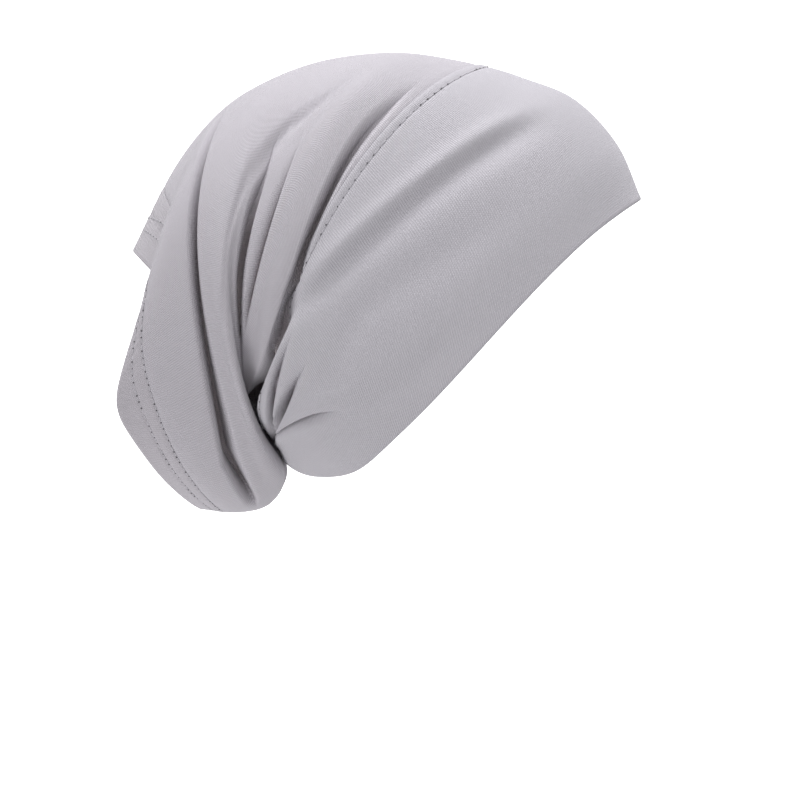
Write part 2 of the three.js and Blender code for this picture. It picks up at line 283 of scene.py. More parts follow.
class ClothForm:
    """The outer face of the whole cap as a surface over (u, s).

    u runs in millimetres along the tube and s from -1 to 1 round the girth, 0 at the crown.
    Both are arrays of places, and points and distances are in millimetres too.
    """

    STEEPEST_CREASE = 3.2
    STEEPEST_WAVE = 0.8
    GENTLE_LIP = 1.5
    HALF_STEP = (0.5, 0.004)
    NOTHING = 1e-12
    SLACK_SPAN = (0.3, 0.62)
    WIDE_RIPPLE = (0.12, 0.5)
    FINE_RIPPLE = (0.05, 0.16)
    PUCKERS = 92
    PUCKER_DRIFT = (3, 17)
    PUCKER_REACH = (3.2, 2.6)
    DITCH_PACE = (0.25, 1.2)

    def __init__(self, sizes: CapSizes) -> None:
        """Reads the tables into arrays."""
        self.sizes = sizes
        self.knots = np.array([row.tube * sizes.tube for row in SECTIONS])
        self.values = np.array([
            [*row.crown, *row.high, *row.low, *row.nape, row.breadth, row.jowl]
            for row in SECTIONS
        ])
        self.tangents = self._tangents()

    def _tangents(self) -> np.ndarray:
        """Returns the slope of every table column at every section."""
        steps = np.diff(self.knots)[:, None]
        slopes = np.diff(self.values, axis=0) / steps
        inner = (slopes[:-1] * steps[1:] + slopes[1:] * steps[:-1]) / (steps[1:] + steps[:-1])
        return np.vstack([slopes[:1], inner, slopes[-1:]])

    def _along(self, u: np.ndarray) -> np.ndarray:
        """Returns one row of table values for each place, carried smoothly along the tube."""
        i = np.clip(np.searchsorted(self.knots, u, side="right") - 1, 0, len(self.knots) - 2)
        w = (self.knots[i + 1] - self.knots[i])[:, None]
        t = ((u - self.knots[i]) / w[:, 0])[:, None]
        t2, t3 = t * t, t * t * t
        return (
            (2 * t3 - 3 * t2 + 1) * self.values[i]
            + (t3 - 2 * t2 + t) * w * self.tangents[i]
            + (3 * t2 - 2 * t3) * self.values[i + 1]
            + (t3 - t2) * w * self.tangents[i + 1]
        )

    def form(self, u: np.ndarray, s: np.ndarray) -> np.ndarray:
        """Returns the points of the plain form, without folds."""
        row = self._along(u)
        turn = math.pi * s
        t = (1 - np.cos(turn)) / 2
        weights = ((1 - t) ** 3, 3 * t * (1 - t) ** 2, 3 * t * t * (1 - t), t**3)
        reach = sum(w * row[:, 2 * k] for k, w in enumerate(weights))
        drop = sum(w * row[:, 2 * k + 1] for k, w in enumerate(weights))
        x = -row[:, 8] * self.sizes.half_breadth * np.sin(turn) * (1 + row[:, 9] * t**3)
        y = (reach - self.sizes.crown_reach) * self.sizes.reach
        z = -(drop - self.sizes.crown_drop) * self.sizes.drop
        return np.stack([x, y, z], axis=1)

    @classmethod
    def frame_at(
        cls,
        surface: Callable[[np.ndarray, np.ndarray], np.ndarray],
        u: np.ndarray,
        s: np.ndarray,
    ) -> tuple[np.ndarray, np.ndarray, np.ndarray, np.ndarray]:
        """Points and directions of a surface.

        Args:
            surface: a function of (u, s) that returns points.
            u, s: the places.

        Returns:
            The points, the outward directions, the tube directions, and the pace: the true
            spacing of the cross sections for each millimetre of u.
        """
        step_u, step_s = cls.HALF_STEP
        du = surface(u + step_u, s) - surface(u - step_u, s)
        ds = surface(u, s + step_s) - surface(u, s - step_s)
        out = np.cross(du, ds)
        size = np.linalg.norm(out, axis=1) + cls.NOTHING
        pace = size / (np.linalg.norm(ds, axis=1) + cls.NOTHING)
        run = du / (np.linalg.norm(du, axis=1)[:, None] + cls.NOTHING)
        return surface(u, s), out / size[:, None], run, pace

    @staticmethod
    def smooth(a: float, b: float, x: np.ndarray) -> np.ndarray:
        """Returns the smooth step from a to b at x."""
        t = np.clip((x - a) / (b - a), 0, 1)
        return t * t * (3 - 2 * t)

    @classmethod
    def fade(cls, row: Crease | Wave, girth: np.ndarray) -> np.ndarray:
        """Returns how strong a fold is at each girth share."""
        a, b, c, d = row.fade
        return cls.smooth(a, b, girth) * (1 - cls.smooth(c, d, girth))

    @staticmethod
    def stationed(row: Crease | Wave, girth: np.ndarray, column: int = 1) -> np.ndarray:
        """A value along a fold: the parabola through its three stations.

        Args:
            row: the fold.
            girth: girth shares, 0 at the crown and 1 at the nape.
            column: which value of the stations, 1 for the tube place and 2 for the gape.

        Returns:
            The values, in the shares of the table.
        """
        g1, g2, g3 = (station[0] for station in row.stations)
        v1, v2, v3 = (station[column] for station in row.stations)
        g = np.clip(girth, g1, g3)
        w1 = (g - g2) * (g - g3) / ((g1 - g2) * (g1 - g3))
        w2 = (g - g1) * (g - g3) / ((g2 - g1) * (g2 - g3))
        w3 = (g - g1) * (g - g2) / ((g3 - g1) * (g3 - g2))
        return v1 * w1 + v2 * w2 + v3 * w3

    def waved(self, u: np.ndarray, s: np.ndarray) -> np.ndarray:
        """Returns the points of the form with its flutes, pulls and shallow waves."""
        z = self.sizes
        girth = np.abs(s)
        at, out, run, pace = self.frame_at(self.form, u, s)
        share = u / z.tube
        for row in FLUTES:
            k = np.clip((share - row.start) / (1 - row.start), 0, 1)
            centre = row.girth_start + (row.girth_end - row.girth_start) * k
            v = np.exp(-(((girth - centre) / row.half) ** 2)) * self.smooth(row.start, 1, share)
            at = at - out * (row.depth * z.fold_depth * v)[:, None]
            at = at - run * (row.draw * z.fold_depth * v * k)[:, None]
        for row in PULLS:
            far = ((share - row.tube) / row.long) ** 2 + ((girth - row.girth) / row.wide) ** 2
            v = np.exp(-far)
            at[:, 1] -= row.forward * z.fold_half * v
            at[:, 2] += row.up * z.fold_half * v
        sink = np.zeros(len(u))
        for row in WAVES:
            half = row.half * z.fold_half
            most = self.STEEPEST_WAVE * half * pace
            depth = np.clip(row.depth * z.fold_depth, -most, most)
            away = u - self.stationed(row, girth) * z.tube
            sink += depth * np.exp(-((away / half) ** 2)) * self.fade(row, girth)
        sink += self._slackness(share, s)
        return at - out * sink[:, None]

    @classmethod
    def _slackness(cls, share: np.ndarray, s: np.ndarray) -> np.ndarray:
        """Returns how far hanging cloth sinks unevenly, at shares of the tube's length.

        Two ripples of unlike lengths, whose phases keep them and the two sides from lining up.
        """
        slack, turn = cls.smooth(*cls.SLACK_SPAN, share), math.pi * s
        wide = np.sin(9.0 * share + 2.1 * np.sin(turn + 0.4)) * np.cos(3 * turn + 1.1)
        fine = np.sin(31.0 * share + 2.0 * np.cos(turn)) * np.sin(5 * turn + 5.0 * share)
        (wide_taut, wide_slack), (fine_taut, fine_slack) = cls.WIDE_RIPPLE, cls.FINE_RIPPLE
        return (wide_taut + wide_slack * slack) * wide + (fine_taut + fine_slack * slack) * fine

    def ditched(self, u: np.ndarray, s: np.ndarray, pace: np.ndarray) -> np.ndarray:
        """Returns how far stitch lines sink the cloth, where sections lie at this pace."""
        sink, turn = np.zeros(len(u)), math.pi * s
        (drift, drifts), (near, wide) = self.PUCKER_DRIFT, self.PUCKER_REACH
        for row in DITCHES:
            d = (u - row.tube) * np.clip(pace, *self.DITCH_PACE)
            gather = np.sin(turn * self.PUCKERS + drift * np.sin(turn * drifts)) * row.pucker
            deep = row.depth + gather * np.exp(-((d / near) ** 2)) * 0.5
            sink += deep * np.exp(-((d / row.half) ** 2)) + gather * np.exp(-((d / wide) ** 2))
        return sink

    def slot(self, row: Crease, girth: np.ndarray) -> tuple[np.ndarray, ...]:
        """Returns a crease's centre, half its gape and its strength at girth shares."""
        strength = self.fade(row, girth)
        open_share = self.smooth(0, 0.5, strength)
        gape = np.maximum(self.stationed(row, girth, 2), 0) * self.sizes.fold_half / 2
        return self.stationed(row, girth) * self.sizes.tube, gape * open_share, strength

    def creased(
        self, u: np.ndarray, s: np.ndarray, pace: np.ndarray
    ) -> tuple[np.ndarray, np.ndarray]:
        """Returns how far creases sink the cloth, and how deep in a fold each point lies."""
        z = self.sizes
        girth = np.abs(s)
        sink, hidden = np.zeros(len(u)), np.zeros(len(u))
        for row in CREASES:
            centre, gape, strength = self.slot(row, girth)
            away = u - centre
            lip = np.where(away < 0, row.front, row.back)
            near = np.clip(1 - (np.abs(away) - gape) / (lip * z.fold_half), 0, 1)
            gentle = lip > self.GENTLE_LIP * min(row.front, row.back)
            lobe = np.where(gentle, near * near, 1 - np.sqrt(1 - near * near))
            mouth = ((row.front + row.back) * z.fold_half / 2 + gape) * pace
            depth = np.minimum(row.depth * z.fold_depth, self.STEEPEST_CREASE * mouth)
            sink += depth * strength * lobe
            hidden = np.maximum(hidden, strength * lobe)
        return sink, hidden

    def face(self, u: np.ndarray, s: np.ndarray) -> tuple[np.ndarray, ...]:
        """One row of the finished outer face.

        Returns:
            The points, the directions the plies are laid up in, the places along the tube,
            and how deep in a fold each point lies, from 0 to 1.
        """
        at, out, _, pace = self.frame_at(self.waved, u, s)
        sink, hidden = self.creased(u, s, pace)
        sink += self.ditched(u, s, pace)
        return at - out * sink[:, None], out, u, hidden


@dataclass
class ClothRows:
    """The laid-out outer face: rows of points and where each sewn piece starts."""

    at: np.ndarray
    out: np.ndarray
    tube: np.ndarray
    hidden: np.ndarray
    girth: np.ndarray
    starts: dict[str, int]


class ClothTable:
    """Lays the outer face out in rows that follow the creases and the seams."""

    COLUMNS = 384
    ROW_PITCH = 1.3
    SEWN_PITCH = 0.6
    SEWN_REACH = 6.0
    LOBE_ROWS = 7
    SLOT_ROWS = 4
    LEAST_PITCH = 0.03
    LEAST_STRIP = 0.3
    HEM_APPROACH = 2.5
    STITCH_SIDE = 0.01

    def __init__(self, form: ClothForm) -> None:
        """Keeps the form and the girth stations."""
        self.form = form
        self.girth = np.linspace(-1, 1, self.COLUMNS + 1)[:-1]
        self.lines: list[np.ndarray] = []

    def _plain(self, end: np.ndarray, pitch: float) -> None:
        """Adds rows at about this pitch from the last one to a line, with the line itself."""
        start = self.lines[-1]
        count = max(1, round(float(np.mean(end - start)) / pitch))
        for i in range(1, count + 1):
            self.lines.append(start + (end - start) * i / count)

    def _creased(self, crease: Crease) -> None:
        """Adds the rows across one deep fold, close together on its steep lips."""
        centre, gape, _ = self.form.slot(crease, np.abs(self.girth))
        unit = self.form.sizes.fold_half
        angles = [(i + 1) / self.LOBE_ROWS * math.pi / 2 for i in range(self.LOBE_ROWS)]
        for angle in angles:
            self._line(centre - gape - crease.front * unit * (1 - math.sin(angle)))
        for i in range(1, self.SLOT_ROWS):
            self._line(centre + gape * (2 * i / self.SLOT_ROWS - 1))
        for angle in reversed(angles):
            self._line(centre + gape + crease.back * unit * (1 - math.sin(angle)))
        self._line(centre + gape + crease.back * unit)

    def _line(self, place: np.ndarray) -> None:
        """Adds one row, at least a hair behind the last one."""
        self.lines.append(np.maximum(place, self.lines[-1] + self.LEAST_PITCH))

    def lay_out(self) -> ClothRows:
        """Lays out the whole cap, face edge to hem.

        Returns:
            The rows, with the first row of each sewn piece.
        """
        z = self.form.sizes
        girth = np.abs(self.girth)
        level = np.ones(self.COLUMNS)
        seam = (SEAM_STITCH * z.tube - self.STITCH_SIDE) * level
        hem = (z.tube - z.hem_depth) * level
        starts = {"band": 0}
        self.lines = [0 * level]
        for crease in CREASES:
            least = self.lines[-1] + self.LEAST_STRIP
            if crease.name == "seam_crease":
                self._plain(np.maximum(seam - self.SEWN_REACH, least), self.ROW_PITCH)
                self._plain(seam, self.SEWN_PITCH)
                starts["strip"] = len(self.lines) - 1
                self._plain(seam + z.strip_width, self.SEWN_PITCH)
                starts["tube"] = len(self.lines) - 1
            else:
                centre, gape, _ = self.form.slot(crease, girth)
                lip = centre - gape - crease.front * z.fold_half
                self._plain(np.maximum(lip, least), self.ROW_PITCH)
            self._creased(crease)
        self._plain(hem - self.HEM_APPROACH, self.ROW_PITCH)
        self._plain(hem, self.SEWN_PITCH)
        starts["hem"] = len(self.lines) - 1
        self._plain(z.tube * level, self.SEWN_PITCH)
        rows = [self.form.face(line, self.girth) for line in self.lines]
        at, out, tube, hidden = (np.array(part) for part in zip(*rows))
        return ClothRows(at, out, tube, hidden, self.girth, starts)


Ring = tuple[np.ndarray, np.ndarray, np.ndarray]


@dataclass
class ClothPiece:
    """One sewn piece of cloth, closed all round its plies.

    Attributes:
        name: the piece's name.
        node: the solid that it stands for.
        slot: the material slot of its finish; not used.
        span: first and last row of the laid-out face.
        plies: thickness in millimetres, below the outer face.
        proud: how far it stands above the outer face.
        ends: how it ends at its first and last row.
        held: how the cloth is kept in shape; not used.
        flat: width and length that it was cut to in metres, or None for a narrow seam.
        thin_inside: keep every second row on the inner face.
    """

    name: str
    node: str
    slot: str
    span: tuple[int, int]
    plies: float
    proud: float
    ends: tuple[Edge, Edge]
    held: Held
    flat: Flat | None
    thin_inside: bool = False

    WALES = 640
    COURSE = 0.9
    TILT = 0.26
    TURN_STEPS = 4
    SHARP = math.radians(50)

    def _ring(self, cloth: ClothRows, i: int, depth: float, shift: float) -> np.ndarray:
        """Returns row i, sunk to a depth below the face and shifted along the cloth."""
        at, out = cloth.at[i], cloth.out[i]
        points = at - out * depth
        if shift:
            round_it = np.roll(at, -1, axis=0) - np.roll(at, 1, axis=0)
            across = np.cross(round_it, out)
            across /= np.linalg.norm(across, axis=1)[:, None]
            points = points + across * shift
        return points

    def _profile(self, cloth: ClothRows, gap: float) -> list[Ring]:
        """Returns the closed loop of rings round the plies, a gap short of sewn neighbours.

        Each ring has its points, its tube places and its fold depth.
        """
        first, last = self.span
        top, bottom = -self.proud, self.plies - self.proud
        half = (bottom - top) / 2
        rings: list[Ring] = []

        def add(i: int, depth: float, shift: float) -> None:
            points = self._ring(cloth, i, depth, shift)
            rings.append((points, cloth.tube[i] + shift, cloth.hidden[i]))

        def rim(i: int, edge: Edge, sign: int) -> None:
            if edge is Edge.TURNED:
                for k in range(1, self.TURN_STEPS):
                    a = math.pi * k / self.TURN_STEPS
                    side = math.cos(a) * half * sign
                    add(i, (top + bottom) / 2 - side, sign * math.sin(a) * half)

        shifts = {first: gap / 2 if self.ends[0] is Edge.SEWN else 0.0}
        shifts[last] = -gap / 2 if self.ends[1] is Edge.SEWN else 0.0
        for i in range(first, last + 1):
            add(i, top, shifts.get(i, 0.0))
        rim(last, self.ends[1], 1)
        inner = list(range(last, first - 1, -1))
        if self.thin_inside:
            inner = inner[:-1:2] + [first]
        for i in inner:
            add(i, bottom, shifts.get(i, 0.0))
        rim(first, self.ends[0], -1)
        return rings

    def build(self, cloth: ClothRows, gap: float) -> bpy.types.Object:
        """Makes the piece's object with its knit coordinates and fold depth."""
        rings = self._profile(cloth, gap)
        n, c = len(rings), len(cloth.girth)
        points = np.concatenate([ring[0] for ring in rings]) * MM
        k, j = np.meshgrid(np.arange(n), np.arange(c), indexing="ij")
        this, after, right = k * c, ((k + 1) % n) * c, (j + 1) % c
        faces = np.stack([this + j, after + j, after + right, this + right], axis=-1).reshape(-1, 4)
        mesh = bpy.data.meshes.new(self.name)
        mesh.vertices.add(len(points))
        mesh.vertices.foreach_set("co", points.ravel())
        mesh.loops.add(faces.size)
        mesh.loops.foreach_set("vertex_index", faces.ravel().astype(np.int32))
        mesh.polygons.add(len(faces))
        mesh.polygons.foreach_set("loop_start", np.arange(0, faces.size, 4, dtype=np.int32))
        mesh.update(calc_edges=True)
        mesh.polygons.foreach_set("use_smooth", np.ones(len(faces), dtype=bool))
        self._lay_knit(mesh, rings, cloth)
        # fold depth per point, which the jersey finish uses as the mask for its painted shade in
        # the folds
        hidden = np.concatenate([ring[2] for ring in rings]).astype(np.float32)
        mesh.attributes.new("fold", "FLOAT", "POINT").data.foreach_set("value", hidden)
        mesh.set_sharp_from_angle(angle=self.SHARP)
        piece = bpy.data.objects.new(self.name, mesh)
        bpy.context.scene.collection.objects.link(piece)
        return piece

    def _lay_knit(self, mesh: bpy.types.Mesh, rings: list[Ring], cloth: ClothRows) -> None:
        """Writes the knit map: wales round the girth, courses along the tube."""
        tube = np.array([ring[1] for ring in rings])
        tube = np.concatenate([tube, tube[:, :1]], axis=1)
        girth = np.append(cloth.girth, 1.0)
        wale = (girth + 1) / 2 * self.WALES + self.TILT * tube * np.sin(math.pi * girth)
        course = tube / self.COURSE
        knit = np.stack([wale, course], axis=-1)
        after = np.roll(knit, -1, axis=0)
        uv = np.stack([knit[:, :-1], after[:, :-1], after[:, 1:], knit[:, 1:]], axis=2)
        mesh.uv_layers.new(name="knit").data.foreach_set("uv", uv.astype(np.float32).ravel())

    def dress(self, piece: bpy.types.Object, material: bpy.types.Material) -> None:
        """Gives the piece its finish and puts it in its solid's place."""
        piece.data.materials.append(material)
        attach(piece, "root")
        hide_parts(self.node)

    def declare(self, piece: bpy.types.Object, sewn_on: Sequence[bpy.types.Object]) -> None:
        if self.flat is None:
            return
        faces = piece.data.polygons
        size, cut = sum(p.area for p in faces) / 2, math.prod(self.flat)
        log.info("%s: %d faces, %.4f m2 of %.4f", piece.name, len(faces), size, cut)


@dataclass
class StitchRow:
    """A row of machine stitches that follows the cloth round the cap.

    Attributes:
        name: the row's name.
        tube: its place along the tube, in millimetres.
        slot: the material slot of its thread; not used.
        pitch: stitch length with its gap, in millimetres.
        width: thread width in millimetres.
        hole: needle hole width in millimetres.
        phase: offset of the first stitch, in pitches.
        crown_rise: how much nearer the cap's back edge it runs on the crown line, in
            millimetres, because the cloth is stretched longer there.
    """

    name: str
    tube: float
    slot: str
    pitch: float
    width: float = 0.5
    hole: float = 0.8
    phase: float = 0.0
    crown_rise: float = 0.0

    CROWN_REACH = 0.42
    SAMPLES = 2401
    LOOK_AHEAD = 0.4
    CUTS = (-0.3, 0.0, 0.3)
    HOLE_SHARE = 0.8
    TAPER = 0.3
    FLATNESS = 0.6
    THREAD_LIFT, THREAD_DIP = 0.2, 0.26
    HOLE_LIFT, HOLE_HEIGHT = 0.08, 0.3

    def _model_stitch(self) -> tuple[np.ndarray, list[tuple[int, ...]]]:
        """Models one stitch: a short round thread whose ends dip into the cloth.

        Returns:
            Its points in millimetres and its faces.
        """
        bpy.ops.object.select_all(action="DESELECT")
        bpy.ops.mesh.primitive_cylinder_add(
            vertices=6, radius=0.5, depth=1.0, end_fill_type="NGON",
            rotation=(0, math.pi / 2, 0),
        )
        bpy.ops.object.transform_apply(location=True, rotation=True, scale=True)
        bpy.ops.object.mode_set(mode="EDIT")
        for place in self.CUTS:
            bpy.ops.mesh.select_all(action="SELECT")
            bpy.ops.mesh.bisect(plane_co=(place, 0, 0), plane_no=(1, 0, 0), use_fill=False)
        bpy.ops.object.mode_set(mode="OBJECT")
        points, faces = self._taken(bpy.context.object)
        ends = np.clip(np.abs(points[:, 0]) * 2, 0, 1) ** 3
        points[:, 0] *= self.pitch - self.hole * self.HOLE_SHARE
        points[:, 1] *= self.width * (1 - self.TAPER * ends)
        points[:, 2] *= self.width * self.FLATNESS * (1 - self.TAPER * ends)
        points[:, 2] += self.THREAD_LIFT - self.THREAD_DIP * ends
        return points, faces

    def _model_hole(self) -> tuple[np.ndarray, list[tuple[int, ...]]]:
        """Models the painted shade of one needle hole: a low dark dome at the end of a stitch."""
        bpy.ops.object.select_all(action="DESELECT")
        bpy.ops.mesh.primitive_uv_sphere_add(segments=8, ring_count=4, radius=0.5)
        points, faces = self._taken(bpy.context.object)
        points *= (self.hole, self.hole, self.HOLE_HEIGHT)
        points += (self.pitch / 2, 0, self.HOLE_LIFT)
        return points, faces

    @staticmethod
    def _taken(model: bpy.types.Object) -> tuple[np.ndarray, list[tuple[int, ...]]]:
        """Takes a model's points and faces and removes the model."""
        points = np.array([v.co[:] for v in model.data.vertices])
        faces = [tuple(p.vertices) for p in model.data.polygons]
        bpy.data.objects.remove(model, do_unlink=True)
        return points, faces

    def build(self, form: ClothForm) -> bpy.types.Object:
        """Copies the stitch round the cap and returns the row as one object."""
        s = np.linspace(-1, 1, self.SAMPLES)
        u = self.tube + self.crown_rise * (1 - form.smooth(0.0, self.CROWN_REACH, np.abs(s)))
        at, out, _, _ = form.face(u, s)
        steps = np.linalg.norm(np.diff(at, axis=0), axis=1)
        length = np.concatenate([[0], np.cumsum(steps)])
        count = round(length[-1] / self.pitch)
        where = (np.arange(count) + self.phase) * length[-1] / count

        def read(values: np.ndarray, places: np.ndarray) -> np.ndarray:
            return np.stack([np.interp(places, length, values[:, k]) for k in range(3)], axis=1)

        place = read(at, where)
        along = read(at, (where + self.LOOK_AHEAD) % length[-1]) - place
        along /= np.linalg.norm(along, axis=1)[:, None]
        across = np.cross(read(out, where), along)
        across /= np.linalg.norm(across, axis=1)[:, None]
        normal = np.cross(along, across)
        one, faces = self._model_stitch()
        hole, hole_faces = self._model_hole()
        faces += [tuple(v + len(one) for v in f) for f in hole_faces]
        # the hole domes take the second, near-black finish: painted shade in the needle holes
        dark = [False] * (len(faces) - len(hole_faces)) + [True] * len(hole_faces)
        one = np.vstack([one, hole])
        points = (
            place[:, None]
            + one[None, :, 0, None] * along[:, None]
            + one[None, :, 1, None] * across[:, None]
            + one[None, :, 2, None] * normal[:, None]
        )
        all_faces = [tuple(v + i * len(one) for v in f) for i in range(count) for f in faces]
        mesh = bpy.data.meshes.new(self.name)
        mesh.from_pydata((points.reshape(-1, 3) * MM).tolist(), [], all_faces)
        mesh.update()
        mesh.polygons.foreach_set("use_smooth", [True] * len(mesh.polygons))
        mesh.polygons.foreach_set("material_index", dark * count)
        row = bpy.data.objects.new(self.name, mesh)
        bpy.context.scene.collection.objects.link(row)
        log.info("%s: %d stitches", self.name, count)
        return row

    def dress(self, row: bpy.types.Object, *finishes: bpy.types.Material) -> None:
        """Gives the row its thread and the dark finish that paints shade into its needle holes."""
        for finish in finishes:
            row.data.materials.append(finish)
        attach(row, "root")


class Signal:
    """A shader value; Python's operators on it add Math nodes."""

    def __init__(self, book: "NodeBook", socket: bpy.types.NodeSocket) -> None:
        """Keeps the socket and the book that its nodes go into."""
        self.book = book
        self.socket = socket

    def _with(self, operation: str, *values: "Signal | float") -> "Signal":
        """Adds one Math node with its inputs in order and returns its result."""
        inputs = {i: value for i, value in enumerate(values)}
        return self.book.add("ShaderNodeMath", {"operation": operation}, inputs)

    def __add__(self, other: "Signal | float") -> "Signal":
        """Returns self + other."""
        return self._with("ADD", self, other)

    __radd__ = __add__

    def __sub__(self, other: "Signal | float") -> "Signal":
        """Returns self - other."""
        return self._with("SUBTRACT", self, other)

    def __mul__(self, other: "Signal | float") -> "Signal":
        """Returns self * other."""
        return self._with("MULTIPLY", self, other)

    __rmul__ = __mul__

    def __abs__(self) -> "Signal":
        """Returns the size of self."""
        return self._with("ABSOLUTE", self)

    def cosine(self) -> "Signal":
        """Returns the cosine of self."""
        return self._with("COSINE", self)

    def fraction(self) -> "Signal":
        """Returns the part of self after the point."""
        return self._with("FRACT", self)

    def clamped(self) -> "Signal":
        """Returns self kept between 0 and 1."""
        return self._with("MINIMUM", self._with("MAXIMUM", self, 0.0), 1.0)


class NodeBook:
    """The nodes of one material."""

    def __init__(self, name: str) -> None:
        """Starts a material without any node."""
        self.material = bpy.data.materials.new(name)
        self.material.use_nodes = True
        self.tree = self.material.node_tree
        self.tree.nodes.clear()

    def add(
        self,
        kind: str,
        settings: dict[str, object] | None = None,
        inputs: dict[str | int, object] | None = None,
        output: str | int | None = 0,
    ) -> Signal | None:
        """Adds a node.

        Args:
            kind: the node's type.
            settings: its properties.
            inputs: values or signals for its sockets.
            output: which output to return, or None for a node that has none.

        Returns:
            The chosen output.
        """
        node = self.tree.nodes.new(kind)
        for key, value in (settings or {}).items():
            setattr(node, key, value)
        for key, value in (inputs or {}).items():
            socket = node.inputs[key]
            if isinstance(value, Signal):
                self.tree.links.new(value.socket, socket)
            else:
                socket.default_value = value
        return None if output is None else Signal(self, node.outputs[output])

    def noise(self, here: Signal, scale: float, detail: float) -> Signal:
        """Adds an even noise in space."""
        inputs = {"Vector": here, "Scale": scale, "Detail": detail}
        return self.add("ShaderNodeTexNoise", {"noise_dimensions": "3D"}, inputs)

    def bump(self, height: Signal, strength: float, distance: float) -> Signal:
        """Adds a relief of some metres' distance."""
        inputs = {"Strength": strength, "Distance": distance, "Height": height}
        return self.add("ShaderNodeBump", None, inputs, output="Normal")

    def finished(self, inputs: dict[str | int, object]) -> bpy.types.Material:
        """Wires a principled shader to the output and returns the material."""
        shader = self.add("ShaderNodeBsdfPrincipled", None, inputs)
        self.add("ShaderNodeOutputMaterial", None, {"Surface": shader}, output=None)
        return self.material

    def mix(self, factor: Signal | float, a: Signal | tuple, b: Signal | tuple) -> Signal:
        """Mixes colours a and b by the share of b."""
        a, b = (part if isinstance(part, Signal) else (*part, 1.0) for part in (a, b))
        inputs = {0: factor, 6: a, 7: b}
        return self.add("ShaderNodeMix", {"data_type": "RGBA"}, inputs, output=2)


@dataclass(frozen=True)
class JerseyFinish:
    """Fine matt single knit, seen from its face side.

    Attributes:
        name: the material's name.
        face: the cloth's colour.
        deep: its colour deep in a fold, painted there as shade: darker, and warmed as a painted
            reflection of what lies round it.
        groove: how much darker the cloth is painted between its wales, as painted shade in the
            knit's grooves.
        relief: strength of the knit relief.
    """

    name: str
    face: Colour
    deep: Colour
    groove: float = 0.62
    relief: float = 0.8

    FIBRE, CLOUD, HEATHER = (1500.0, 2.0), (26.0, 3.0), (420.0, 2.0)
    FIBRE_TONE, CLOUD_TONE, HEATHER_TONE = 0.05, 0.07, 0.10
    WANDER = 0.108
    LEAN = 0.9
    LOOP = 0.5
    FUZZ = 0.22
    # gain of the painted highlight on the knit's loop ridges
    CROWN_GAIN = 1.22
    FOLD_SHADE = 0.75
    GROOVE_SHADE = 0.55
    ROUGHNESS = (0.82, 0.12)
    RELIEF_DEPTH = 0.0003

    def material(self) -> bpy.types.Material:
        """Builds the knit material."""
        book = NodeBook(self.name)
        knit = book.add("ShaderNodeUVMap", {"uv_map": "knit"})
        wale = book.add("ShaderNodeSeparateXYZ", None, {0: knit}, output=0)
        course = book.add("ShaderNodeSeparateXYZ", None, {0: knit}, output=1)
        here = book.add("ShaderNodeTexCoord", output="Object")
        fibre, cloud, heather = (
            book.noise(here, *grain) for grain in (self.FIBRE, self.CLOUD, self.HEATHER)
        )
        across = (wale + (cloud - 0.5) * self.WANDER).fraction() - 0.5
        ridge = ((across * (2 * math.pi)).cosine() + 1) * 0.5
        loop = (((course + abs(across) * self.LEAN) * (2 * math.pi)).cosine() + 1) * 0.5
        stitch = ridge * (1 - self.LOOP + self.LOOP * loop)
        fold = book.add("ShaderNodeAttribute", {"attribute_name": "fold"}, output="Fac")
        tone = (heather - 0.5) * self.HEATHER_TONE + (cloud - 0.5) * self.CLOUD_TONE
        tone = tone + (fibre - 0.5) * self.FIBRE_TONE
        # painted light on the knit: loop ridges painted lighter as a painted highlight, grooves
        # between wales darker as painted shade
        light = stitch * ((1 - self.groove) * self.CROWN_GAIN)
        # painted shade: the deeper a point lies in a fold, the more its colour turns to the darker,
        # warmer fold colour
        ground = book.mix((fold * fold * self.FOLD_SHADE).clamped(), self.face, self.deep)
        groove = tuple(self.GROOVE_SHADE * part for part in self.face)
        smooth, fuzzy = self.ROUGHNESS
        return book.finished(
            {
                "Base Color": book.mix((self.groove + light + tone).clamped(), groove, ground),
                "Roughness": smooth + fibre * fuzzy,
                "Normal": book.bump(stitch + fibre * self.FUZZ, self.relief, self.RELIEF_DEPTH),
                "Specular IOR Level": 0.22,
                "Sheen Weight": 0.28,
                "Sheen Roughness": 0.45,
                "Sheen Tint": (0.93, 0.91, 0.96, 1.0),
            }
        )


@dataclass(frozen=True)
class ThreadFinish:
    """Spun polyester sewing thread.

    Attributes:
        name: the material's name.
        colour: the thread's colour.
    """

    name: str
    colour: Colour

    TWIST = {"Scale": 900.0, "Distortion": 1.5}
    FUZZ = 2600.0
    TWIST_SHADE, FUZZ_SHADE, SHADE = 0.35, 0.3, 0.7
    ROUGHNESS = (0.55, 0.2)
    RELIEF = (0.4, 0.0001)

    def material(self) -> bpy.types.Material:
        """Builds the thread material."""
        book = NodeBook(self.name)
        here = book.add("ShaderNodeTexCoord", output="Object")
        bands = {"bands_direction": "DIAGONAL"}
        twist = book.add("ShaderNodeTexWave", bands, {"Vector": here, **self.TWIST})
        fuzz = book.add("ShaderNodeTexNoise", None, {"Vector": here, "Scale": self.FUZZ})
        shade = tuple(self.SHADE * part for part in self.colour)
        smooth, fuzzy = self.ROUGHNESS
        return book.finished(
            {
                "Base Color": book.mix(
                    twist * self.TWIST_SHADE + fuzz * self.FUZZ_SHADE, self.colour, shade
                ),
                "Roughness": smooth + fuzz * fuzzy,
                "Normal": book.bump(twist, *self.RELIEF),
                "Sheen Weight": 0.2,
            }
        )


